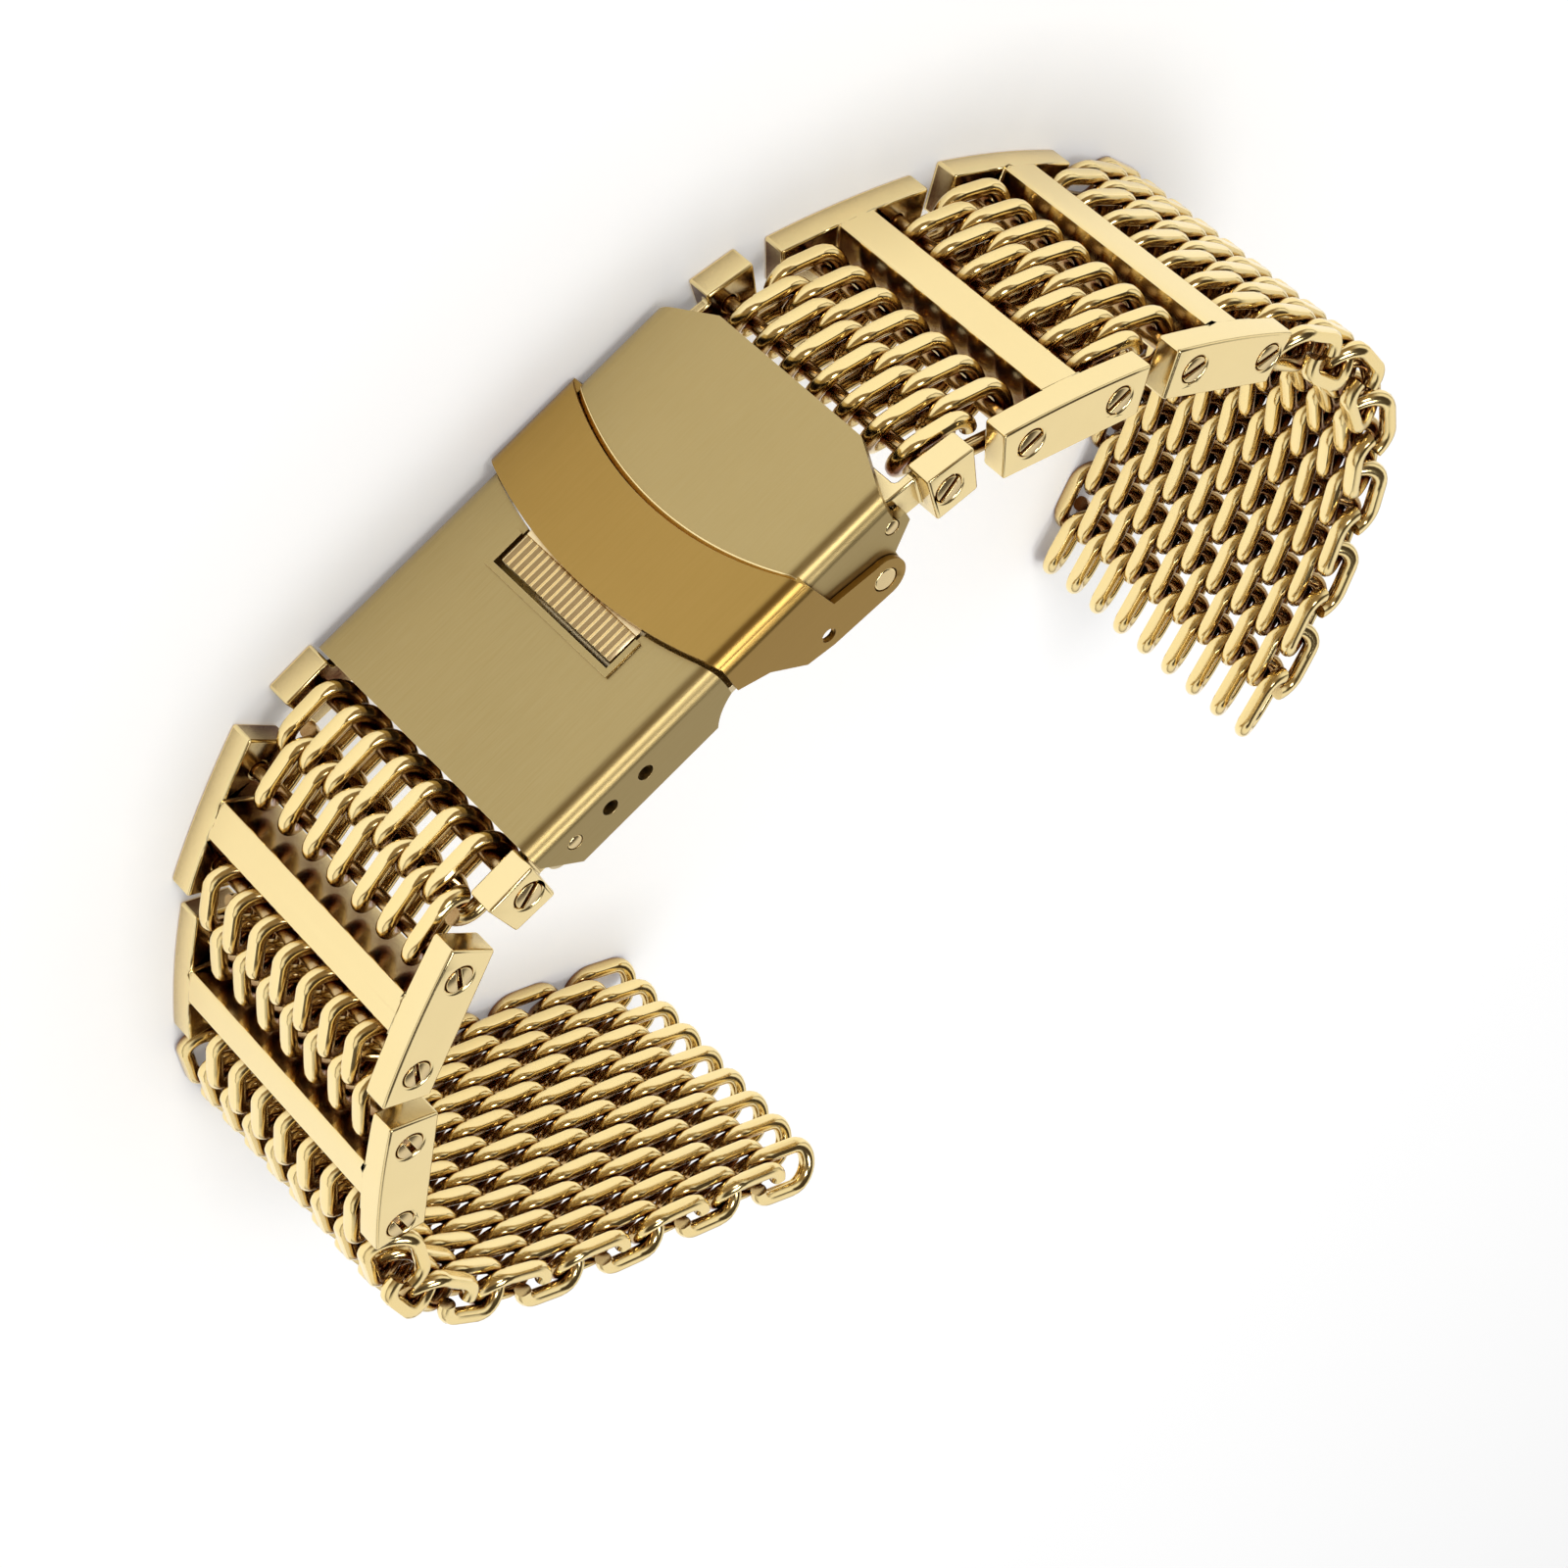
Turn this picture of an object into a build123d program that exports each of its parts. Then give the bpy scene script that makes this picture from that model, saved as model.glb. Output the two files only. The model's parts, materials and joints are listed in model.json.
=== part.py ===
from build123d import *
import os
from math import cos, radians, sin, sqrt

# Woven wire bracelet for a wrist watch, lying on its far side edge.
# Every link is drawn in its own frame: X runs along the strap, Y points out
# of the loop and Z runs across the width. All hinge axes are parallel to Z.

# Strap
strap_width = 22.0
row_thickness = 3.7
link_thickness = 3.8
arm_width = 1.8

# Woven rows: one flattened wire spiral each
wire = 0.95
row_pitch = 3.4
ring_length = 5.9
ring_shoulder = 0.78
long_loops = 9
short_loops = 7
rows_per_end = 13

# Screw pins that carry the rows
pin_radius = 0.5
pin_play = 0.05
pin_fit = 0.05
head_radius = 0.9
head_height = 1.0
slot_width = 0.35
slot_depth = 0.4

# H links
h_pin_spacing = 7.0
h_bar_width = 2.8
h_end_reach = 2.35
h_mesh_reach = 1.5
h_end_slant = 0.45
h_crown = 0.25

# Half links next to the clasp
u_pin_spacing = 4.0
u_eye_radius = 1.4
u_bar_reach = 1.7
u_bar_half_height = 1.2
u_shoulder = 2.75
u_neck = 0.7
u_end_reach = 2.3
inner_play = 0.1

# Spring bars
bar_radius = 0.75
bar_tip_radius = 0.5
bar_hole_fit = 0.05
bar_span = 25.4
bar_drop = 0.2

# Clasp cover
sheet = 0.7
clasp_top = 2.3
wall_foot = 2.3
cover_overhang = 2.5
cover_edge = -2.15
cover_corner_rise = 2.8
cover_corner_run = 2.1
bend_radius = 1.3
adjust_pitch = 2.8
adjust_count = 3
notch_centre = 0.9
notch_radius = 3.6
notch_foot = 4.0

# Pocket that the finger tab lies in
pocket_length = 2.35
pocket_width = 10.8
pocket_rim = 0.4
pocket_rim_height = 0.18

# Safety flap
flap_sheet = 0.6
ear_sheet = 0.4
ear_gap = 0.05
flap_lift = 0.05
flap_left = -2.0
flap_left_rise = 1.9
flap_right = 4.0
flap_right_rise = 2.7
pivot_x = 10.6
pivot_y = -3.0
pivot_radius = 0.8
ear_radius = 1.5
snap_x = 6.0
snap_radius = 0.5
tab_length = 2.1
tab_play = 0.2
tab_sheet = 0.6
tab_seat = 2.6
ridge_count = 19
ridge_height = 0.22

# End plate
plate_left = 3.0
plate_right = 15.1
plate_corner_run = 2.1
plate_corner_width = 4.1
plate_foot = 4.2
plate_wall_end = 13.85
plate_wall_chin = -0.9
panel_height = 0.3
panel_gap = 0.4

# Blades folded under the cover
blade_sheet = 0.6
fold_x = -13.8
fold_y = -3.45
lift_x = -4.0
lift_y = -1.75
blade_half_width = 7.5
inner_blade_play = 1.35
middle_y = -2.9
inner_y = -3.67
inner_end = 11.6
knuckle_radius = 0.95
lift_knuckle_radius = 1.0
blade_pin_radius = 0.5
blade_pin_fit = 0.05
knuckle_gap = 0.2
knuckle_half = 3.8
pin_seat = 0.3

# Bend of each joint at rest, in degrees from straight, from the clasp outwards
left_link_bends = [-2, 5, 16, 17, 16, 8, -5]
left_row_bends = [4, 13, 17, 17, 12, 9, 6, 4, 2, 0, -1, -2, -2]
right_link_bends = [10, 13, 7, 1, 2, 5, 10]
right_row_bends = [5, 6, 9, 12, 13, 11, 10, 9, 7, 5, 4, 4, 5]

# Sizes that follow
half_wire = wire / 2
loop_pitch = (strap_width - wire) / (long_loops - 0.5)
half_pitch = loop_pitch / 2
ring_reach = ring_length / 2 - half_wire
ring_rise = (row_thickness - wire) / 2
pin_offset = ring_reach - half_wire - pin_radius - pin_play
arm_outer = strap_width / 2
arm_inner = arm_outer - arm_width
clasp_width = strap_width - 2 * (ear_gap + ear_sheet)
clasp_half = clasp_width / 2
clasp_inner = clasp_half - sheet
inner_half_width = clasp_inner - inner_blade_play
tab_width = pocket_width - 2 * tab_play
bar_x = bar_span / 2
cover_left = -bar_x - cover_overhang
flap_base = clasp_top + flap_lift
ear_inner = clasp_half + ear_gap
ear_half = ear_inner + ear_sheet
hidden_half = clasp_inner - inner_play
u_arm_inner = hidden_half - u_neck


# Woven rows
# The wire runs along the outside of the strap, round the end of the ring and
# back along the inside, and steps half a pitch sideways at every ring end.
def ring_corner(end, side, inner_corner):
    """Place of a ring corner and the way its mitre points, in X and Y."""
    reach = ring_reach if inner_corner else ring_reach - ring_shoulder
    rise = ring_rise - ring_shoulder if inner_corner else ring_rise
    step = half_wire * (sqrt(2) - 1)
    mitre = (half_wire, step) if inner_corner else (step, half_wire)
    return (end * reach, side * rise), (end * mitre[0], side * mitre[1])


def wire_section(place, mitre, across):
    """Four corners of the wire where it is cut by a mitre."""
    corners = []
    for grow, lean in ((1, 1), (1, -1), (-1, -1), (-1, 1)):
        corners.append(Vector(place[0] + grow * mitre[0],
                              place[1] + grow * mitre[1],
                              across + lean * half_wire))
    return corners


def woven_row(loops, outer_first):
    """One spiral row as a closed shell of flat faces."""
    strands = 2 * loops
    sections = []
    bars = []
    for strand in range(strands):
        across = (strand - (strands - 1) / 2) * half_pitch
        outside = (strand % 2 == 0) == outer_first
        side = 1 if outside else -1
        start = -side
        if strand > 0:
            bars.append(len(sections) - 1)
            sections.append(wire_section(*ring_corner(start, side, True), across))
            sections.append(wire_section(*ring_corner(start, side, False), across))
        else:
            place, mitre = ring_corner(start, side, False)
            sections.append(wire_section(place, (0, side * half_wire), across))
        if strand < strands - 1:
            sections.append(wire_section(*ring_corner(-start, side, False), across))
            sections.append(wire_section(*ring_corner(-start, side, True), across))
        else:
            place, mitre = ring_corner(-start, side, False)
            sections.append(wire_section(place, (0, side * half_wire), across))
    faces = [sections[0], sections[-1][::-1]]
    for index in range(len(sections) - 1):
        first, second = sections[index], sections[index + 1]
        for corner in range(4):
            following = (corner + 1) % 4
            quad = [first[corner], second[corner], second[following], first[following]]
            if index in bars and corner in (1, 3):
                faces.append([quad[0], quad[1], quad[2]])
                faces.append([quad[0], quad[2], quad[3]])
            else:
                faces.append(quad)
    walls = [Face(Wire.make_polygon(points, close=True)) for points in faces]
    return Solid(Shell(walls))


with BuildPart() as long_row_inner_first:
    add(woven_row(long_loops, False))

with BuildPart() as long_row_outer_first:
    add(woven_row(long_loops, True))

with BuildPart() as short_row_inner_first:
    add(woven_row(short_loops, False))

with BuildPart() as short_row_outer_first:
    add(woven_row(short_loops, True))


# Screw pin, standing on the middle of its length
with BuildPart() as screw_pin:
    with BuildSketch(Plane.XY.offset(-arm_outer)):
        Circle(pin_radius)
    extrude(amount=strap_width - head_height)
    with BuildSketch(Plane.XY.offset(arm_outer - head_height)):
        Circle(head_radius)
    extrude(amount=head_height)
    with BuildSketch(Plane.XY.offset(arm_outer)):
        Rectangle(2 * head_radius, slot_width, rotation=30)
    extrude(amount=-slot_depth, mode=Mode.SUBTRACT)


# Link for two rows of pins, a crossbar and two side arms. The arms are
# shorter where the full width of the strap begins.
h_low = -link_thickness / 2
h_shoulder = link_thickness / 2 - h_crown


def crossed_link(near_reach, far_reach):
    near = -h_pin_spacing / 2 - near_reach
    far = h_pin_spacing / 2 + far_reach
    with BuildPart() as link:
        with BuildSketch(Plane.XY.offset(-arm_outer)) as arm_outline:
            with BuildLine():
                top = ThreePointArc((near, h_shoulder), ((near + far) / 2, h_shoulder + h_crown),
                                    (far, h_shoulder))
                Polyline(top @ 1, (far - h_end_slant, h_low), (near + h_end_slant, h_low), top @ 0)
            make_face()
        extrude(amount=arm_width)
        extrude(arm_outline.sketch.moved(Location((0, 0, strap_width - arm_width))),
                amount=arm_width)
        with BuildSketch(Plane.XY.offset(-arm_inner)):
            with BuildLine():
                crown = ThreePointArc((-h_bar_width / 2, h_shoulder), (0, h_shoulder + h_crown),
                                      (h_bar_width / 2, h_shoulder))
                Polyline(crown @ 1, (h_bar_width / 2, h_low), (-h_bar_width / 2, h_low), crown @ 0)
            make_face()
        extrude(amount=2 * arm_inner)
        with BuildSketch(Plane.XY.offset(-arm_outer)):
            with Locations((-h_pin_spacing / 2, 0), (h_pin_spacing / 2, 0)):
                Circle(pin_radius + pin_fit)
        extrude(amount=strap_width, mode=Mode.SUBTRACT)
        with BuildSketch(Plane.XY.offset(arm_outer)):
            with Locations((-h_pin_spacing / 2, 0), (h_pin_spacing / 2, 0)):
                Circle(head_radius + pin_fit)
        extrude(amount=-head_height, mode=Mode.SUBTRACT)
    return link.part


h_link_inner = crossed_link(h_end_reach, h_end_reach)
h_link_to_left_mesh = crossed_link(h_mesh_reach, h_end_reach)
h_link_to_right_mesh = crossed_link(h_end_reach, h_mesh_reach)


# Half link: its eye turns on a spring bar inside the clasp
with BuildPart() as u_link:
    with BuildSketch(Plane.XY.offset(-hidden_half)):
        Circle(u_eye_radius)
        with Locations((u_bar_reach / 2, 0)):
            Rectangle(u_bar_reach, 2 * u_bar_half_height)
    extrude(amount=2 * hidden_half)
    for side in (-1, 1):
        with BuildSketch(Plane.XY.offset(side * u_arm_inner)):
            with Locations((u_shoulder / 2, 0)):
                Rectangle(u_shoulder, 2 * u_bar_half_height)
        extrude(amount=side * u_neck)
        with BuildSketch(Plane.XY.offset(side * u_arm_inner)):
            with BuildLine():
                Polyline((u_shoulder, h_low), (u_pin_spacing + u_end_reach - h_end_slant, h_low),
                         (u_pin_spacing + u_end_reach, h_shoulder),
                         (u_shoulder, h_shoulder + h_crown), close=True)
            make_face()
        extrude(amount=side * (arm_outer - u_arm_inner))
    with BuildSketch(Plane.XY.offset(-arm_outer)):
        Circle(bar_radius + bar_hole_fit)
        with Locations((u_pin_spacing, 0)):
            Circle(pin_radius + pin_fit)
    extrude(amount=strap_width, mode=Mode.SUBTRACT)
    with BuildSketch(Plane.XY.offset(arm_outer)):
        with Locations((u_pin_spacing, 0)):
            Circle(head_radius + pin_fit)
    extrude(amount=-head_height, mode=Mode.SUBTRACT)


# Spring bar, with its tips through the clasp walls
with BuildPart() as spring_bar:
    with BuildSketch(Plane.XY.offset(-clasp_half)):
        Circle(bar_tip_radius)
    extrude(amount=clasp_width)
    with BuildSketch(Plane.XY.offset(-clasp_inner)):
        Circle(bar_radius)
    extrude(amount=2 * clasp_inner)


across_strap = Plane((0, 0, 0), x_dir=(0, 0, -1), z_dir=(1, 0, 0))


def channel(half, top, foot, skin, wall):
    """Cross-section of a bent sheet, open at the bottom."""
    with BuildSketch(across_strap) as section:
        with BuildLine():
            Polyline((-half, -foot), (-half, top), (half, top), (half, -foot),
                     (half - wall, -foot), (half - wall, top - skin),
                     (-half + wall, top - skin), (-half + wall, -foot), close=True)
        make_face()
        fillet(section.vertices().group_by(Axis.Y)[-2], bend_radius - skin)
        fillet(section.vertices().group_by(Axis.Y)[-1], bend_radius)
    return section.sketch


def arc_edge(x_middle, rise, half, toward):
    """Plan of the ground on one side of an arc across the strap."""
    far = toward * (bar_span + x_middle * toward)
    with BuildSketch(Plane.XZ) as plan:
        with BuildLine():
            edge = ThreePointArc((x_middle + rise, -half), (x_middle, 0), (x_middle + rise, half))
            Polyline(edge @ 1, (x_middle + rise, strap_width), (far, strap_width),
                     (far, -strap_width), (x_middle + rise, -strap_width), edge @ 0)
        make_face()
    return plan.sketch


# Clasp cover
with BuildPart() as clasp_cover:
    extrude(channel(clasp_half, clasp_top, wall_foot, sheet, sheet).moved(
        Location((cover_left, 0, 0))), amount=bar_span)
    extrude(arc_edge(cover_edge, flap_left_rise, ear_half, 1), amount=strap_width,
            both=True, mode=Mode.SUBTRACT)
    with BuildSketch(Plane.XY.offset(-clasp_half)):
        with BuildLine():
            Polyline((cover_left, -wall_foot), (cover_left, cover_corner_rise - wall_foot),
                     (cover_left + cover_corner_run, -wall_foot), close=True)
        make_face()
        with Locations((notch_centre, -notch_foot)):
            Circle(notch_radius)
        for step in range(adjust_count):
            with Locations((-bar_x + step * adjust_pitch, -bar_drop)):
                Circle(bar_tip_radius + bar_hole_fit)
    extrude(amount=clasp_width, mode=Mode.SUBTRACT)
    with BuildSketch(Plane.XZ.offset(-clasp_top)):
        with Locations((cover_edge - pocket_length / 2 - pocket_rim / 2, 0)):
            Rectangle(pocket_length + pocket_rim, pocket_width + 2 * pocket_rim)
    extrude(amount=-pocket_rim_height)
    with BuildSketch(Plane.XZ.offset(-clasp_top)):
        with Locations((cover_edge, 0)):
            Rectangle(2 * pocket_length, pocket_width)
    extrude(amount=sheet, both=True, mode=Mode.SUBTRACT)
    with BuildSketch(Plane.XY.offset(-clasp_inner - pin_seat)):
        with Locations((lift_x, lift_y)):
            Circle(blade_pin_radius)
    extrude(amount=2 * (clasp_inner + pin_seat), mode=Mode.SUBTRACT)


# End plate, with a raised panel behind the flap and its rear corners cut
with BuildPart() as raised_panel:
    extrude(channel(clasp_half, clasp_top + panel_height, 0, sheet, sheet).moved(
        Location((plate_left, 0, 0))), amount=plate_right - plate_left)
    extrude(arc_edge(flap_right + panel_gap, flap_right_rise, ear_half, -1), amount=strap_width,
            both=True, mode=Mode.SUBTRACT)

with BuildPart() as end_plate:
    extrude(channel(clasp_half, clasp_top, plate_foot, sheet, sheet).moved(
        Location((plate_left, 0, 0))), amount=plate_right - plate_left)
    add(raised_panel.part)
    with BuildSketch(Plane.XY.offset(-clasp_half)):
        with BuildLine():
            Polyline((plate_wall_end, clasp_top - bend_radius),
                     (plate_right, clasp_top - bend_radius), (plate_right, -plate_foot),
                     (pivot_x + ear_radius, -plate_foot), (pivot_x + ear_radius, -wall_foot),
                     (plate_wall_end, plate_wall_chin), close=True)
        make_face()
        with BuildLine():
            Polyline((plate_left, -plate_foot), (pivot_x - ear_radius, -plate_foot),
                     (snap_x, -wall_foot), (plate_left, -wall_foot), close=True)
        make_face()
        with Locations((bar_x, -bar_drop)):
            Circle(bar_tip_radius + bar_hole_fit)
        with Locations((pivot_x, pivot_y)):
            Circle(pivot_radius)
    extrude(amount=clasp_width, mode=Mode.SUBTRACT)
    with BuildSketch(Plane.XZ):
        for side in (-1, 1):
            with BuildLine():
                Polyline((plate_right, side * clasp_half),
                         (plate_right - plate_corner_run, side * clasp_half),
                         (plate_right, side * (clasp_half - plate_corner_width)), close=True)
            make_face()
    extrude(amount=-clasp_top - panel_height, mode=Mode.SUBTRACT)


# Safety flap: a curved band with an ear down each side
ear_points = [
    (flap_left + flap_left_rise, flap_base), (flap_left + flap_left_rise, -bar_drop),
    (flap_right / 2, -bend_radius), (flap_right, pivot_y - flap_sheet),
    (snap_x, pivot_y - ear_radius + ear_sheet), (pivot_x, pivot_y - ear_radius)]
ear_return = [
    (pivot_x, pivot_y + ear_radius), (snap_x + bend_radius, -bend_radius + ear_sheet),
    (flap_right + flap_right_rise, flap_base)]
with BuildPart() as safety_flap:
    extrude(channel(ear_half, flap_base + flap_sheet, plate_foot + ear_radius, flap_sheet,
                    ear_sheet).moved(Location((flap_left, 0, 0))),
            amount=pivot_x + ear_radius - flap_left)
    extrude(arc_edge(flap_right, flap_right_rise, ear_half, 1).moved(
        Location((0, flap_base, 0))), amount=-strap_width, mode=Mode.SUBTRACT)
    extrude(arc_edge(flap_left, flap_left_rise, ear_half, -1), amount=strap_width, both=True,
            mode=Mode.SUBTRACT)
    with BuildSketch(Plane.XY.offset(-ear_half)) as ear:
        with BuildLine():
            lobe = ThreePointArc(ear_points[-1], (pivot_x + ear_radius, pivot_y), ear_return[0])
            Polyline(lobe @ 1, *ear_return[1:], *ear_points)
        make_face()
        with Locations((flap_right / 2, flap_base + flap_sheet / 2)):
            Rectangle(2 * bar_span, flap_sheet)
    extrude(amount=2 * ear_half, mode=Mode.INTERSECT)
    with BuildSketch(Plane.XY.offset(-ear_half)):
        with Locations((pivot_x, pivot_y)):
            Circle(pivot_radius + pin_fit)
        with Locations((snap_x, pivot_y + flap_lift)):
            Circle(snap_radius)
    extrude(amount=2 * ear_half, mode=Mode.SUBTRACT)


# Finger tab, seated under the flap's edge
tab_left = flap_left - tab_length
with BuildPart() as flap_finger_tab:
    with BuildSketch(Plane.XZ.offset(-flap_base)):
        with Locations(((tab_left + tab_left + tab_seat + tab_length) / 2, 0)):
            Rectangle(tab_seat + tab_length, tab_width)
    extrude(amount=tab_sheet)
    ridge_pitch = tab_width / ridge_count
    with BuildSketch(Plane.YZ.offset(tab_left)):
        for ridge in range(ridge_count):
            low = -tab_width / 2 + ridge * ridge_pitch
            with BuildLine():
                Polyline((flap_base, low), (flap_base + ridge_height, low + ridge_pitch / 2),
                         (flap_base, low + ridge_pitch), close=True)
            make_face()
    extrude(amount=tab_length)


# Rivets that the flap turns on
with BuildPart() as flap_pivot_rivets:
    for side in (-1, 1):
        with BuildSketch(Plane.XY.offset(side * inner_half_width)):
            Circle(pivot_radius)
        extrude(amount=side * (ear_half - inner_half_width))


# Inner blade, fixed to the end plate by the rivets
with BuildPart() as inner_blade:
    with BuildSketch(Plane.XY.offset(-inner_half_width)):
        with Locations(((fold_x + inner_end) / 2, inner_y)):
            Rectangle(inner_end - fold_x, blade_sheet)
        with Locations((fold_x, fold_y)):
            Circle(knuckle_radius)
    extrude(amount=2 * inner_half_width)
    for side in (-1, 1):
        with BuildSketch(Plane.XY.offset(side * inner_half_width)):
            with BuildLine():
                Polyline((pivot_x - ear_radius, inner_y - blade_sheet / 2),
                         (inner_end, inner_y - blade_sheet / 2),
                         (inner_end, pivot_y + pivot_radius + blade_sheet),
                         (pivot_x - ear_radius, pivot_y + pivot_radius + blade_sheet), close=True)
            make_face()
        extrude(amount=side * (clasp_inner - inner_half_width))
    with BuildSketch(Plane.XY.offset(-clasp_inner)):
        with Locations((fold_x, fold_y)):
            Circle(blade_pin_radius + blade_pin_fit)
        with Locations((pivot_x, pivot_y)):
            Circle(pivot_radius)
    extrude(amount=2 * clasp_inner, mode=Mode.SUBTRACT)
    with BuildSketch(Plane.XY.offset(-knuckle_half - knuckle_gap)):
        with Locations((fold_x, fold_y)):
            Rectangle(4 * knuckle_radius, 4 * knuckle_radius)
    extrude(amount=2 * (knuckle_half + knuckle_gap), mode=Mode.SUBTRACT)


# Middle blade, between the two folds
with BuildPart() as middle_blade:
    with BuildSketch(Plane.XY.offset(-blade_half_width)):
        with Locations(((fold_x + lift_x) / 2, middle_y)):
            Rectangle(lift_x - fold_x, blade_sheet)
        with Locations((lift_x, lift_y)):
            Circle(lift_knuckle_radius)
    extrude(amount=2 * blade_half_width)
    for side in (-1, 1):
        with BuildSketch(Plane.XY.offset(side * knuckle_half)):
            with Locations((fold_x, middle_y)):
                Rectangle(4 * knuckle_radius, 2 * knuckle_radius)
        extrude(amount=side * blade_half_width, mode=Mode.SUBTRACT)
    with BuildSketch(Plane.XY.offset(-knuckle_half)):
        with Locations((fold_x, fold_y)):
            Circle(knuckle_radius)
    extrude(amount=2 * knuckle_half)
    with BuildSketch(Plane.XY.offset(-blade_half_width)):
        with Locations((fold_x, fold_y), (lift_x, lift_y)):
            Circle(blade_pin_radius + blade_pin_fit)
    extrude(amount=2 * blade_half_width, mode=Mode.SUBTRACT)


with BuildPart() as blade_hinge_pin:
    with BuildSketch(Plane.XY.offset(-inner_half_width)):
        Circle(blade_pin_radius)
    extrude(amount=2 * inner_half_width)

with BuildPart() as cover_hinge_pin:
    with BuildSketch(Plane.XY.offset(-clasp_inner - pin_seat)):
        Circle(blade_pin_radius)
    extrude(amount=2 * (clasp_inner + pin_seat))


# Rest layout
# The chain is walked outwards from each spring bar. A link's frame keeps X in
# one direction along the whole strap, from the left end to the right end.
pieces = {}
hinges = []


def place(name, solid, x, y, turn):
    piece = Part(solid.wrapped).moved(Location((x, y, 0), (0, 0, turn)))
    piece.label = name
    pieces[name] = piece


def walk(side, link_bends, row_bends, names, bar_name):
    """Place one half of the strap. side is -1 for the left half, 1 for the right."""
    x, y = side * bar_x, -bar_drop
    fall = 0
    parent = bar_name
    plan = [("u_link", u_pin_spacing, 0), ("row", row_pitch, 0), ("row", row_pitch, 1),
            ("h_link", h_pin_spacing, 0), ("row", row_pitch, 0), ("row", row_pitch, 1),
            ("h_link", h_pin_spacing, 0)]
    plan += [("row", row_pitch, index) for index in range(rows_per_end)]
    bends = list(link_bends) + list(row_bends)
    for index, (kind, length, order) in enumerate(plan):
        fall += bends[index]
        along = (side * cos(radians(fall)), -sin(radians(fall)))
        turn = -side * fall
        name = names[index]
        hinges.append((name, parent, x, y, bends[index], kind))
        if kind == "u_link":
            place(name, u_link.part if side > 0 else u_link_left.part, x, y, turn)
            centre = length
            place(name + "_screw_pin", screw_pin.part, x + along[0] * length,
                  y + along[1] * length, turn)
            reach = length
        elif kind == "h_link":
            middle = (x + along[0] * length / 2, y + along[1] * length / 2)
            link = h_link_inner
            if index + 1 < len(plan) and plan[index - 3][0] == "h_link":
                link = h_link_to_right_mesh if side > 0 else h_link_to_left_mesh
            place(name, link, *middle, turn)
            pins = []
            for end in (-1, 1):
                pins.append(screw_pin.part.moved(Location((end * length / 2, 0, 0))))
            place(name + "_screw_pins", Compound(children=pins), *middle, turn)
            reach = length
        else:
            last = index == len(plan) - 1
            before = row_pitch / 2 if order > 0 else pin_offset
            after = row_pitch / 2
            if not last and plan[index + 1][0] == "h_link":
                after = pin_offset
            centre = (x + along[0] * before, y + along[1] * before)
            short = index < 7 or order == 0
            outer_first = (order % 2 == 0) == (side > 0)
            if not (index >= 7):
                outer_first = (order == 0) == (side < 0)
            loops = short_loops if short else long_loops
            source = {(long_loops, True): long_row_outer_first,
                      (long_loops, False): long_row_inner_first,
                      (short_loops, True): short_row_outer_first,
                      (short_loops, False): short_row_inner_first}[(loops, outer_first)]
            place(name, source.part, *centre, turn)
            reach = before + after
        x += along[0] * reach
        y += along[1] * reach
        parent = name


# The left half link is the right one turned end for end
with BuildPart() as u_link_left:
    mirror(u_link.part, about=Plane.YZ, mode=Mode.ADD)

short_names = ["u_link_{0}", "{0}_mesh_row_a1", "{0}_mesh_row_a2", "h_link_{0}_inner",
               "{0}_mesh_row_b1", "{0}_mesh_row_b2", "h_link_{0}_outer"]


def chain_names(side_name):
    names = [text.format(side_name) for text in short_names]
    names += [f"{side_name}_end_row_{number + 1:02d}" for number in range(rows_per_end)]
    return names


place("clasp_cover", clasp_cover.part, 0, 0, 0)
place("cover_spring_bar", spring_bar.part, -bar_x, -bar_drop, 0)
place("cover_hinge_pin", cover_hinge_pin.part, lift_x, lift_y, 0)
place("middle_blade", middle_blade.part, 0, 0, 0)
place("blade_hinge_pin", blade_hinge_pin.part, fold_x, fold_y, 0)
place("inner_blade", inner_blade.part, 0, 0, 0)
place("end_plate", end_plate.part, 0, 0, 0)
place("end_spring_bar", spring_bar.part, bar_x, -bar_drop, 0)
place("flap_pivot_rivets", flap_pivot_rivets.part, pivot_x, pivot_y, 0)
place("safety_flap", safety_flap.part, 0, 0, 0)
place("flap_finger_tab", flap_finger_tab.part, 0, 0, 0)
walk(-1, left_link_bends, left_row_bends, chain_names("left"), "clasp_cover")
walk(1, right_link_bends, right_row_bends, chain_names("right"), "end_plate")

# The origin is the middle of the foot of the whole bracelet
whole = Compound(list(pieces.values())).bounding_box()
origin = Vector(whole.center().X, whole.center().Y, whole.min.Z)
os.makedirs("parts", exist_ok=True)
for name, piece in pieces.items():
    settled = piece.moved(Location(-origin))
    settled.label = name
    export_step(settled, f"parts/{name}.step")
print("origin moved by", -origin.X, -origin.Y, -origin.Z)
print("nodes", len(pieces))
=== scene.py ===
import bpy, bmesh, json
import numpy as np
from math import radians
from mathutils import Matrix, Vector

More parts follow.
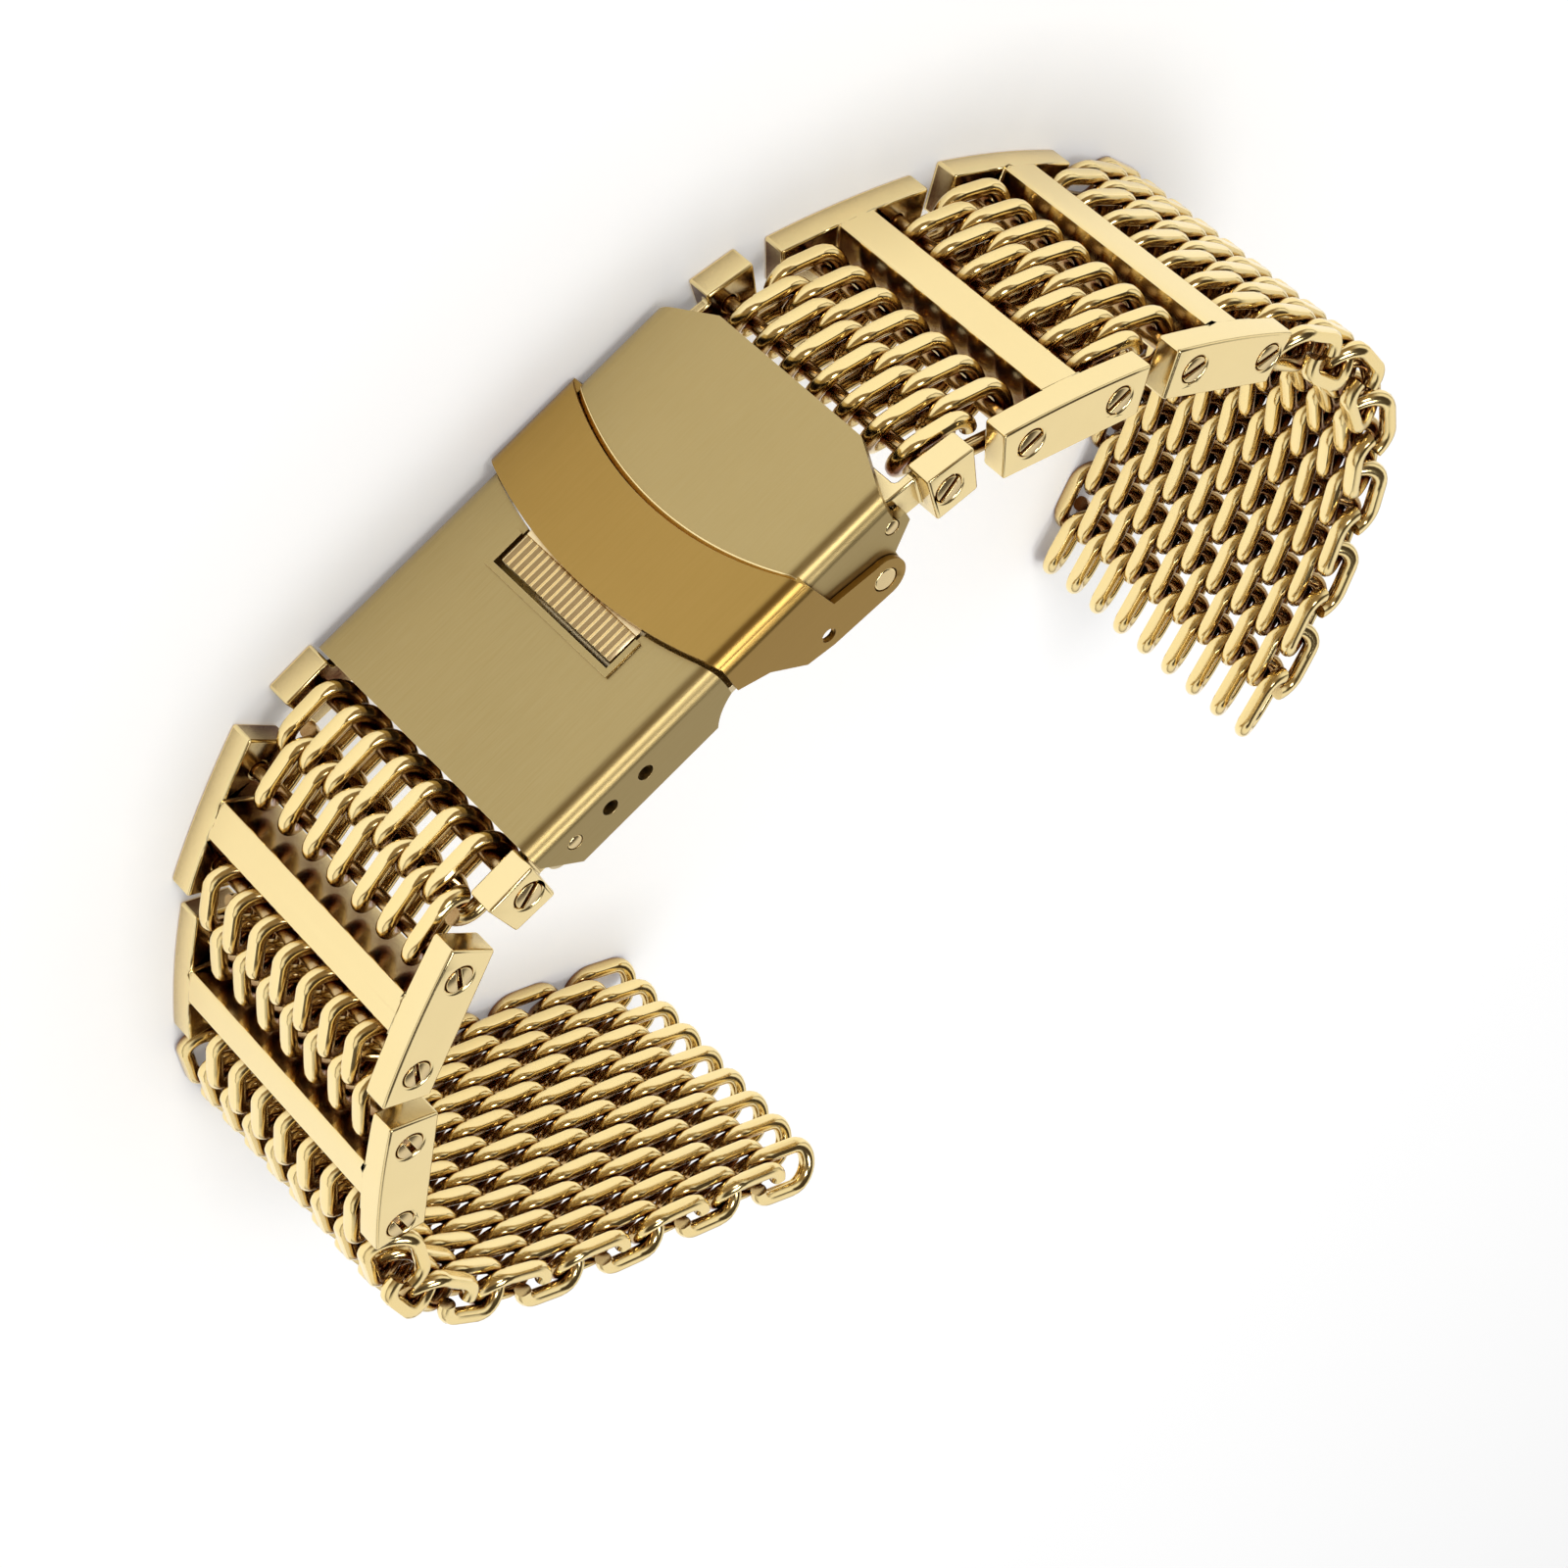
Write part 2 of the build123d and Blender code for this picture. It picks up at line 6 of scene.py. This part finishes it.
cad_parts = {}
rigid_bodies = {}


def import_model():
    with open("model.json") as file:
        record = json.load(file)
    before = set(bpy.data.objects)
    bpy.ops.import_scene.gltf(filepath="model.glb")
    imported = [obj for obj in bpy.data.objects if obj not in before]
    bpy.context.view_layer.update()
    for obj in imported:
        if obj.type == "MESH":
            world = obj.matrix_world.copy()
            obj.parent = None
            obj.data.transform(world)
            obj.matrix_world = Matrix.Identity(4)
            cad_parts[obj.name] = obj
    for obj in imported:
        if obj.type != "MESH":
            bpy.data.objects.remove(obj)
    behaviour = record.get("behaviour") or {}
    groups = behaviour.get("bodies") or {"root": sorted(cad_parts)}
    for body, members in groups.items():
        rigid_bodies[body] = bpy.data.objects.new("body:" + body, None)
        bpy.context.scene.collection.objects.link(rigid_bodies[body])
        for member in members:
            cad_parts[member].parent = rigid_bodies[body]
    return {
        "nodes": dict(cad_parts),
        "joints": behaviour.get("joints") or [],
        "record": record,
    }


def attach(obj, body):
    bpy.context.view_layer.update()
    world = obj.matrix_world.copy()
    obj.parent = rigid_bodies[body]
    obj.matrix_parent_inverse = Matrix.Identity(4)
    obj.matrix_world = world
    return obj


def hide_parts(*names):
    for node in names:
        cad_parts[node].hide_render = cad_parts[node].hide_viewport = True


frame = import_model()
nodes, joints, record = frame["nodes"], frame["joints"], frame["record"]
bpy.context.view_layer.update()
mm = 0.001
hinge = {joint["child"]: joint for joint in joints}
following = {joint["parent"]: joint["child"] for joint in joints if joint["child"] in hinge}
lugEnd = {mount["name"]: mount["pos_m"] for mount in record["mounts"]}
bodyOf = {node: body for body, members in record["behaviour"]["bodies"].items() for node in members}
print("frame loaded,", len(nodes), "nodes")


def added(name, data):
    # a new object, linked to the scene
    made = bpy.data.objects.new(name, data)
    bpy.context.scene.collection.objects.link(made)
    return made


# camera, fitted to the screws, the lug tips and the clasp's corners; its place is in mm from the blades' hinge
view = dict(place=(-1.36, 189.58, 125.76), right=(0.7071, -0.3179, 0.6316), up=(0.7045, 0.3926, -0.5912),
            lens=88.8, sensor=36.0, near=0.01, far=20.0)


def setCamera():
    # up is made square to right, and back is the cross product of right and up
    look = bpy.data.cameras.new("camera")
    look.lens, look.sensor_width = view["lens"], view["sensor"]
    look.clip_start, look.clip_end = view["near"], view["far"]
    across = Vector(view["right"]).normalized()
    upward = Vector(view["up"])
    upward = (upward - across * upward.dot(across)).normalized()
    turn = Matrix((across, upward, across.cross(upward))).transposed().to_4x4()
    eye = added("camera", look)
    eye.matrix_world = Matrix.Translation(Vector(hinge["middle"]["pos_m"]) + Vector(view["place"]) * mm) @ turn
    bpy.context.scene.camera = eye


setCamera()
print("camera set")


# shader maths: a wrapped output socket, whose operators add Math nodes
class Value:
    def __init__(self, paint, socket):
        self.paint, self.socket = paint, socket

    def math(self, operation, *others):
        return self.paint.node("ShaderNodeMath", dict(operation=operation), *others)

    def __add__(self, other): return self.math("ADD", self, other)
    def __radd__(self, other): return self.math("ADD", other, self)
    def __sub__(self, other): return self.math("SUBTRACT", self, other)
    def __mul__(self, other): return self.math("MULTIPLY", self, other)
    def part(self, name): return Value(self.paint, self.socket.node.outputs[name])


# one node tree: node() takes a type, its settings and then its inputs, by place or by name
class Paint:
    def __init__(self, tree):
        self.tree = tree
        tree.nodes.clear()

    def plug(self, socket, value):
        # a link from another node, or a constant on the socket
        if isinstance(value, Value):
            self.tree.links.new(value.socket, socket)
        elif value is not None:
            socket.default_value = value

    def node(self, kind, settings=None, *places, **named):
        made = self.tree.nodes.new(kind)
        for key, value in (settings or {}).items():
            if key == "stops":
                ramp = made.color_ramp
                while len(ramp.elements) < len(value):
                    ramp.elements.new(0.5)  # its place is set below
                for element, (spot, colour) in zip(ramp.elements, value):
                    element.position, element.color = spot, colour
            else:
                setattr(made, key, value)
        for socket, value in zip(made.inputs, places):
            self.plug(socket, value)
        for key, value in named.items():
            self.plug(made.inputs[key.replace("_", " ")], value)
        return Value(self, made.outputs[0]) if made.outputs else None

    def mixColour(self, share, first, second):
        # first * (1 - share) + second * share
        made = self.tree.nodes.new("ShaderNodeMix")
        made.data_type = "RGBA"
        for socket, value in ((made.inputs[0], share), (made.inputs[6], first), (made.inputs[7], second)):
            self.plug(socket, value)
        return Value(self, made.outputs[2])

    def ease(self, value, start, end):
        # 0 up to the start, 1 from the end on, and a smooth step between them
        return self.node("ShaderNodeMapRange", dict(interpolation_type="SMOOTHSTEP"), value, start, end, 0.0, 1.0)


def stretched(paint, spot, stretch, scale, detail, turn=(0.0, 0.0, 0.0)):
    # noise on object coordinates, drawn out along one axis
    place = paint.node("ShaderNodeMapping", None, Vector=spot, Rotation=turn, Scale=stretch)
    return paint.node("ShaderNodeTexNoise", None, Vector=place, Scale=scale, Detail=detail)


# what all finishes share: fine marks across the metal, and how many rays look for the creases that get painted shade
surface = dict(driftDetail=3.0, grainDetail=4.0, marksStretch=(300, 900, 500), marksDetail=5.0,
               marksTurn=(0.3, 0.5, 0.7), marksRough=0.04, marksBump=0.3, bumpDepth=0.02, rays=6)


def metal(name, look):
    # plated steel. Tone = deep to pale by a slow drift, then tinted by the grain, then painted shade: a dark colour
    # where little of the surroundings is open, standing in for the shade in creases and gaps. Roughness = rough plus
    # drift, grain and marks, each less its middle of 0.5 and times its own share. Height = grain plus a share of the
    # marks.
    made = bpy.data.materials.new(name)
    made.use_nodes = True
    paint = Paint(made.node_tree)
    spot = paint.node("ShaderNodeTexCoord").part("Object")
    drift = stretched(paint, spot, (1, 1, 1), look["driftScale"], surface["driftDetail"])
    grain = stretched(paint, spot, look["stretch"], 1.0, surface["grainDetail"], look["turn"])
    marks = stretched(paint, spot, surface["marksStretch"], 1.0, surface["marksDetail"], surface["marksTurn"])
    tone = paint.mixColour(drift, (*look["deep"], 1), (*look["pale"], 1))
    tone = paint.mixColour(grain * look["grainTone"], tone, (*look["grainColour"], 1))
    # painted shade: ambient occlusion draws the tone towards a dark colour in creases and between parts
    openness = paint.node("ShaderNodeAmbientOcclusion", dict(samples=surface["rays"]),
                          Distance=look["paintedShadeDepth"] * mm).part("AO")
    shade = paint.ease(openness, look["paintedShadeFrom"], look["paintedShadeTo"])
    tone = paint.mixColour(shade, (*look["paintedShade"], 1), tone)
    rough = look["rough"] + (drift - 0.5) * look["roughDrift"] + (grain - 0.5) * look["roughGrain"]
    rough = rough + (marks - 0.5) * surface["marksRough"]
    bump = paint.node("ShaderNodeBump", None, Strength=look["bump"], Distance=surface["bumpDepth"] * mm,
                      Height=grain + marks * surface["marksBump"])
    shader = paint.node("ShaderNodeBsdfPrincipled", None, Base_Color=tone, Metallic=1.0, Roughness=rough, Normal=bump)
    paint.node("ShaderNodeOutputMaterial", None, shader)
    return made


# in each look, the colour mixed in where ambient occlusion finds close surroundings is painted shade, with its reach
# in mm and two occlusion limits
polishedLook = dict(pale=(1.0, 0.84, 0.45), deep=(0.98, 0.75, 0.32), driftScale=90.0,
                    paintedShade=(0.19, 0.048, 0.004), paintedShadeDepth=2.2, paintedShadeFrom=0.25, paintedShadeTo=0.80,
                    stretch=(400, 400, 400), turn=(0.0, 0.0, 0.0), grainTone=0.08, grainColour=(0.90, 0.62, 0.25),
                    rough=0.16, roughDrift=0.08, roughGrain=0.05, bump=0.05)
linkLook = dict(polishedLook, pale=(0.98, 0.82, 0.45), deep=(0.94, 0.75, 0.37), driftScale=60.0,
                paintedShade=(0.10, 0.025, 0.004), paintedShadeDepth=3.6, paintedShadeFrom=0.33, paintedShadeTo=0.66, rough=0.17)
rimLook = dict(linkLook, paintedShade=(0.75, 0.46, 0.16), paintedShadeDepth=0.4, paintedShadeFrom=0.0, paintedShadeTo=0.45, rough=0.20)
tabLook = dict(linkLook, pale=(1.0, 0.84, 0.54), deep=(0.95, 0.77, 0.45),
               paintedShade=(0.50, 0.32, 0.11), paintedShadeDepth=0.3, paintedShadeTo=0.55, rough=0.34)
pinLook = dict(polishedLook, pale=(0.84, 0.68, 0.38), deep=(0.74, 0.56, 0.28), rough=0.22)
brushedLook = dict(pale=(0.46, 0.345, 0.142), deep=(0.385, 0.283, 0.107), driftScale=120.0,
                   paintedShade=(0.22, 0.11, 0.03), paintedShadeDepth=1.2, paintedShadeFrom=0.2, paintedShadeTo=0.65,
                   stretch=(400, 9000, 9000), turn=(0.0, 0.0, 0.0), grainTone=0.45, grainColour=(0.56, 0.45, 0.24),
                   rough=0.36, roughDrift=0.08, roughGrain=0.10, bump=0.10)
plateLook = dict(brushedLook, pale=(0.515, 0.385, 0.16), deep=(0.43, 0.318, 0.122))
bladeLook = dict(brushedLook, pale=(0.86, 0.74, 0.50), deep=(0.78, 0.64, 0.40), rough=0.28)
flapLook = dict(brushedLook, pale=(0.435, 0.275, 0.075), deep=(0.36, 0.222, 0.055), driftScale=100.0,
                paintedShade=(0.22, 0.10, 0.02), stretch=(300, 7000, 7000), turn=(0.0, 0.2, 0.0), grainTone=0.4,
                grainColour=(0.50, 0.32, 0.10), rough=0.32, roughDrift=0.10)

looks = dict(polishedWire=polishedLook, polishedLink=linkLook, brushedSheet=brushedLook, brushedPlate=plateLook,
             satinFlap=flapLook, paleBlade=bladeLook, turnedPin=pinLook, polishedRim=rimLook, ridgedTab=tabLook)
finishes = {name: metal(name, look) for name, look in looks.items()}
print("finishes made:", len(finishes))


def gridShape(name, skin, finish, closed):
    # a smooth sheet of four-sided faces between the points of a grid. A closed one is a tube, joined round, with
    # one many-sided face at each end.
    spot = np.arange(skin.shape[0] * skin.shape[1]).reshape(skin.shape[:2])
    caps = [spot[0][::-1].tolist(), spot[-1].tolist()] if closed else []
    if closed:
        spot = np.concatenate([spot, spot[:, :1]], 1)
    quads = np.stack([spot[:-1, :-1], spot[:-1, 1:], spot[1:, 1:], spot[1:, :-1]], -1).reshape(-1, 4)
    shape = bpy.data.meshes.new(name)
    shape.from_pydata(skin.reshape(-1, 3).tolist(), [], quads.tolist() + caps)
    shape.polygons.foreach_set("use_smooth", np.ones(len(shape.polygons), bool))
    shape.materials.append(finishes[finish])
    return shape


# woven rows: one round wire per row, pressed flat on both faces and ground on both sides; span is the distance
# between the middle lines of a long row's first and last strands
weave = dict(pitch=3.4, pinOffset=1.45, reach=2.49, rise=1.45, span=21.05, wire=0.555, halfThick=1.85, halfWidth=11.0,
             longLoops=9, shortLoops=7, around=18, straight=4, bend=13, tail=80.0, tailSteps=7)
weave["step"] = weave["span"] / (2 * weave["longLoops"] - 1)
sharpAngle = radians(32)


def wireGrid(loops, outerFirst):
    # The wire's middle line is a flattened helix. Strand i runs straight at height side*rise, where side changes
    # at each strand, then turns through half a circle round the ring's end while it steps sideways by
    # step*(1-cos(turn))/2. Both ends of the wire turn in by the tail's angle. The surface is a circle of the
    # wire's radius carried along that line, cut off flat at the two faces of the strap and at its two edges.
    strands = 2 * loops
    index = np.arange(strands)
    side = np.where((index % 2 == 0) == outerFirst, 1.0, -1.0)
    across = (index - (strands - 1) / 2) * weave["step"]
    core = weave["reach"] - weave["rise"]
    run = np.linspace(-core, core, weave["straight"], endpoint=False)
    turn = np.linspace(0, np.pi, weave["bend"], endpoint=False)
    share = np.concatenate([run / core, np.ones(len(turn))])
    swing = np.concatenate([np.zeros(len(run)), turn])
    u = side[:, None] * (core * share + weave["rise"] * np.sin(swing))
    n = side[:, None] * weave["rise"] * np.cos(swing)
    v = across[:, None] + weave["step"] * (1 - np.cos(swing)) / 2
    line = np.stack([u, n, v + 0 * u], -1).reshape(-1, 3)
    line = line[:(strands - 1) * len(swing) + len(run) + 1]
    tail = np.radians(np.linspace(weave["tail"], 0, weave["tailSteps"]))[:-1]
    tailRun, tailHeight = core + weave["rise"] * np.sin(tail), weave["rise"] * np.cos(tail)
    head = np.stack([-side[0] * tailRun, side[0] * tailHeight, across[0] + 0 * tail], -1)
    foot = np.stack([side[-1] * tailRun, side[-1] * tailHeight, across[-1] + 0 * tail], -1)[::-1]
    line = np.concatenate([head, line, foot])
    along = np.gradient(line, axis=0)
    along /= np.linalg.norm(along, axis=1)[:, None]
    first = np.array([0, 0, 1.0]) - along[:, 2:3] * along
    first /= np.linalg.norm(first, axis=1)[:, None]
    second = np.cross(along, first)
    angle = np.linspace(0, 2 * np.pi, weave["around"], endpoint=False)[None, :, None]
    skin = line[:, None] + weave["wire"] * (np.cos(angle) * first[:, None] + np.sin(angle) * second[:, None])
    skin[..., 1] = np.clip(skin[..., 1], -weave["halfThick"], weave["halfThick"])
    skin[..., 2] = np.clip(skin[..., 2], -weave["halfWidth"], weave["halfWidth"])
    return skin


wireGrids = {(loops, outer): wireGrid(loops, outer)
             for loops in (weave["longLoops"], weave["shortLoops"]) for outer in (True, False)}


def rowPlace(node):
    # a row lies on the line from its own hinge to the next one, or to the end of the lug
    start = np.array(hinge[node]["pos_m"][:2]) / mm
    child = following.get(node)
    target = hinge[child]["pos_m"] if child else lugEnd["left_lug_end" if "left" in node else "right_lug_end"]
    end = np.array(target[:2]) / mm
    heading = (end - start) / np.linalg.norm(end - start)
    afterLink = "row" not in hinge[node]["parent"]
    return start + heading * (weave["pinOffset"] if afterLink else weave["pitch"] / 2), heading


def makeRow(node):
    # the kinds alternate along the strap, so that the strands of neighbours lie beside each other; the grid is
    # turned from the row's own line into the strap's plane
    middle, heading = rowPlace(node)
    left = "left" in node
    if "mesh_row" in node:
        loops, outer = weave["shortLoops"], node.endswith("1") == left
    else:
        order = int(node[-2:]) - 1
        loops = weave["shortLoops"] if order == 0 else weave["longLoops"]
        outer = (order % 2 == 0) != left
    run = -heading if left else heading
    skin = wireGrids[loops, outer]
    placed = np.empty_like(skin)
    placed[..., 0] = middle[0] + skin[..., 0] * run[0] - skin[..., 1] * run[1]
    placed[..., 1] = middle[1] + skin[..., 0] * run[1] + skin[..., 1] * run[0]
    placed[..., 2] = weave["halfWidth"] + skin[..., 2]
    shape = gridShape("wire_" + node, placed * mm, "polishedWire", True)
    shape.set_sharp_from_angle(angle=sharpAngle)
    piece = added("wire_" + node, shape)
    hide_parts(node)
    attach(piece, node)


rowNodes = [node for node in nodes if "row" in node]
for node in rowNodes:
    makeRow(node)
print("woven rows made:", len(rowNodes))


# rigid pieces: the frame's own shapes with their edges broken as on the real ones; small ones go by a word in
# their name, the others by its beginning
smallTrims = dict(screw=dict(edge=0.05, finish="turnedPin"), bar=dict(edge=0.08, finish="turnedPin"),
                  rivets=dict(edge=0.12, finish="turnedPin"), hinge_pin=dict(edge=0.08, finish="turnedPin"))
largeTrims = dict(clasp_cover=dict(edge=0.16, finish="brushedSheet"), end_plate=dict(edge=0.20, finish="brushedPlate"),
                  safety_flap=dict(edge=0.25, finish="satinFlap"), flap_finger_tab=dict(edge=0.04, finish="ridgedTab"),
                  inner_blade=dict(edge=0.08, finish="paleBlade"), middle_blade=dict(edge=0.08, finish="paleBlade"),
                  h_link=dict(edge=0.20, finish="polishedLink"), u_link=dict(edge=0.20, finish="polishedLink"))
softening = dict(merge=0.02, flat=radians(1.0), roomShare=0.42, segments=2, rimSlot=1, areaWeight=100)
crossbar = dict(shoulder=1.65, inner=9.2, half=1.4, slack=0.02)


def trimOf(node):
    # the piece's edge width and finish
    small = [trim for word, trim in smallTrims.items() if word in node]
    return small[0] if small else next(trim for word, trim in largeTrims.items() if node.startswith(word))


def room(face, edge):
    # how far the face reaches away from the edge's line
    start = edge.verts[0].co
    along = (edge.verts[1].co - start).normalized()
    return max(((corner.co - start) - along * (corner.co - start).dot(along)).length for corner in face.verts)


def levelCrossbar(work, node):
    # The crossbar's top is raised to the arch of the arms. Points are measured from the middle between the link's
    # two pins: x along the link, y outwards, z from the strap's middle. The arch is read at the arms' outer edges.
    start, end = (np.array(hinge[name]["pos_m"][:2]) / mm for name in (node, following[node]))
    run = (end - start) / np.linalg.norm(end - start) * (-1 if "left" in node else 1)
    out = np.array((-run[1], run[0]))
    spots = np.array([corner.co for corner in work.verts]) / mm
    flat = spots[:, :2] - (start + end) / 2
    x, y, z = flat @ run, flat @ out, np.abs(spots[:, 2] - weave["halfWidth"])
    top = y > crossbar["shoulder"] - crossbar["slack"]
    arch = top & (z > weave["halfWidth"] - crossbar["slack"])
    order = np.argsort(x[arch])
    lift = np.interp(x, x[arch][order], y[arch][order]) - y
    onBar = (z < crossbar["inner"] + crossbar["slack"]) & (np.abs(x) < crossbar["half"] + crossbar["slack"])
    for index in np.flatnonzero(top & onBar):
        work.verts[index].co += Vector((*(out * lift[index] * mm), 0))


def soften(node):
    # a merged copy of the frame's piece, its flat faces joined again, then its sharp edges bevelled: each as wide
    # as its piece asks for, or less beside a narrow face; the links' bevels may meet, the others' stop short
    trim = trimOf(node)
    shape = nodes[node].data.copy()
    work = bmesh.new()
    work.from_mesh(shape)
    bmesh.ops.remove_doubles(work, verts=work.verts, dist=softening["merge"] * mm)
    if node in hinge and node.startswith("h_link"):
        work.verts.ensure_lookup_table()
        levelCrossbar(work, node)
        bmesh.ops.remove_doubles(work, verts=work.verts, dist=softening["merge"] * mm)
    bmesh.ops.dissolve_limit(work, angle_limit=softening["flat"], verts=work.verts, edges=work.edges)
    width = trim["edge"] * mm
    share = work.edges.layers.float.new("bevel_weight_edge")
    for edge in work.edges:
        if len(edge.link_faces) == 2 and edge.calc_face_angle() > sharpAngle:
            narrowest = min(room(face, edge) for face in edge.link_faces)
            edge[share] = min(1, softening["roomShare"] * narrowest / width)
    work.to_mesh(shape)
    work.free()
    shape.name = "soft_" + node
    shape.materials.clear()
    shape.materials.append(finishes[trim["finish"]])
    shape.materials.append(finishes["polishedRim"])
    shape.polygons.foreach_set("use_smooth", np.ones(len(shape.polygons), bool))
    piece = added("soft_" + node, shape)
    bevel = piece.modifiers.new("edges", "BEVEL")
    bevel.width, bevel.segments, bevel.material = width, softening["segments"], softening["rimSlot"]
    bevel.limit_method, bevel.miter_outer = "WEIGHT", "MITER_ARC"
    bevel.use_clamp_overlap = not node.startswith(("h_link", "u_link"))
    shading = piece.modifiers.new("shading", "WEIGHTED_NORMAL")
    shading.mode, shading.weight, shading.keep_sharp = "FACE_AREA", softening["areaWeight"], True
    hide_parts(node)
    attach(piece, bodyOf[node])


rigidNodes = [node for node in nodes if "row" not in node]
for node in rigidNodes:
    soften(node)
print("rigid pieces made:", len(rigidNodes))


# polished step where the end plate's raised panel begins, behind the flap; bladeHinge is that hinge's place in the
# clasp's own coordinates
step = dict(x=4.4, rise=2.7, half=11.0, run=0.368, low=2.31, high=2.615, bend=1.3, level=9.25, deepest=1.248,
            edge=10.5, count=49, across=5, thickness=0.06, bladeHinge=(-13.8, -3.45, 0))


def makeStep():
    # x is the arc through the step's middle and its two ends, and moves right as the strip climbs from low to
    # high; past its level part the strip sinks with the sheet's bend near the two side walls
    z = np.linspace(-step["edge"], step["edge"], step["count"])[:, None]
    climb = np.linspace(0, 1, step["across"])[None, :]
    radius = (step["rise"] ** 2 + step["half"] ** 2) / 2 / step["rise"]
    x = step["x"] + radius - np.sqrt(radius ** 2 - z ** 2) - step["run"] * (1 - climb)
    past = np.clip(np.abs(z) - step["level"], 0, step["deepest"])
    y = step["low"] + (step["high"] - step["low"]) * climb - step["bend"] + np.sqrt(step["bend"] ** 2 - past ** 2)
    origin = np.array(hinge["middle"]["pos_m"]) / mm - np.array(step["bladeHinge"])
    skin = np.stack([x + 0 * y + origin[0], y + origin[1], z + 0 * y + origin[2]], -1) * mm
    piece = added("panel_step", gridShape("panel_step", skin, "polishedRim", False))
    thick = piece.modifiers.new("thickness", "SOLIDIFY")
    thick.thickness, thick.offset = step["thickness"] * mm, -1
    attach(piece, "base")


makeStep()
print("panel step made")


# plain floor, soft lamps and a pale world; the sky is what the metal reflects, by height and towards the camera
studio = dict(floor=3.0, floorColour=(0.92, 0.92, 0.92), world=0.54, floorGlow=0.17, reflected=0.92, aim=(0, 0, 0.01))
lamps = dict(top=dict(place=(-0.10, -0.10, 0.75), size=0.26, power=1.5),
             front=dict(place=(0.06, 0.38, 0.62), size=0.20, power=1.1))
sky = dict(stops=[(0.0, (0.30, 0.26, 0.22, 1)), (0.30, (0.95, 0.93, 0.90, 1)), (0.58, (1.0, 0.98, 0.95, 1)),
                  (0.68, (0.05, 0.035, 0.02, 1)), (1.0, (0.06, 0.045, 0.03, 1))],
           front=(0.28, 0.20, 0.11, 1), frontFrom=0.25, frontTo=0.75)
white = (1, 1, 1, 1)


def makeFloor():
    # a grey sheet, with a glow added only where the camera, a reflection or a view through something meets it
    reach = studio["floor"]
    outline = [(-reach, -reach, 0), (reach, -reach, 0), (reach, reach, 0), (-reach, reach, 0)]
    shape = bpy.data.meshes.new("floor")
    shape.from_pydata(outline, [], [(0, 1, 2, 3)])
    made = bpy.data.materials.new("paleFloor")
    made.use_nodes = True
    paint = Paint(made.node_tree)
    path = paint.node("ShaderNodeLightPath")
    seen = path.part("Is Camera Ray") + path.part("Is Glossy Ray") + path.part("Is Transmission Ray")
    plain = paint.node("ShaderNodeBsdfDiffuse", None, Color=(*studio["floorColour"], 1))
    lit = paint.node("ShaderNodeEmission", None, Color=white, Strength=seen * studio["floorGlow"])
    paint.node("ShaderNodeOutputMaterial", None, paint.node("ShaderNodeAddShader", None, plain, lit))
    shape.materials.append(made)
    added("floor", shape)


def makeLamps():
    # square lamps, turned towards the object
    for name, lamp in lamps.items():
        bulb = bpy.data.lights.new(name, "AREA")
        bulb.size, bulb.energy = lamp["size"], lamp["power"]
        light = added(name, bulb)
        light.location = lamp["place"]
        toward = Vector(studio["aim"]) - Vector(lamp["place"])
        light.rotation_euler = toward.to_track_quat("-Z", "Y").to_euler()


def makeWorld():
    # White to the camera and as light. The metal reflects a pale band at middle height, dark overhead, and brown
    # on the camera's side. Strength = world, reflected for reflections, 1 for the camera.
    world = bpy.data.worlds.new("studio")
    bpy.context.scene.world = world
    world.use_nodes = True
    paint = Paint(world.node_tree)
    direction = paint.node("ShaderNodeSeparateXYZ", None, paint.node("ShaderNodeTexCoord").part("Generated"))
    path = paint.node("ShaderNodeLightPath")
    band = paint.node("ShaderNodeValToRGB", dict(stops=sky["stops"]), direction.part("Z"))
    band = paint.mixColour(paint.ease(direction.part("Y"), sky["frontFrom"], sky["frontTo"]), band, sky["front"])
    tone = paint.mixColour(path.part("Is Glossy Ray"), white, band)
    tone = paint.mixColour(path.part("Is Camera Ray"), tone, white)
    strength = studio["world"] + path.part("Is Glossy Ray") * (studio["reflected"] - studio["world"])
    strength = strength + path.part("Is Camera Ray") * (1 - studio["world"])
    paint.node("ShaderNodeOutputWorld", None, paint.node("ShaderNodeBackground", None, tone, strength))


makeFloor()
makeLamps()
makeWorld()
bpy.context.scene.view_settings.view_transform = "Standard"
print("studio set")
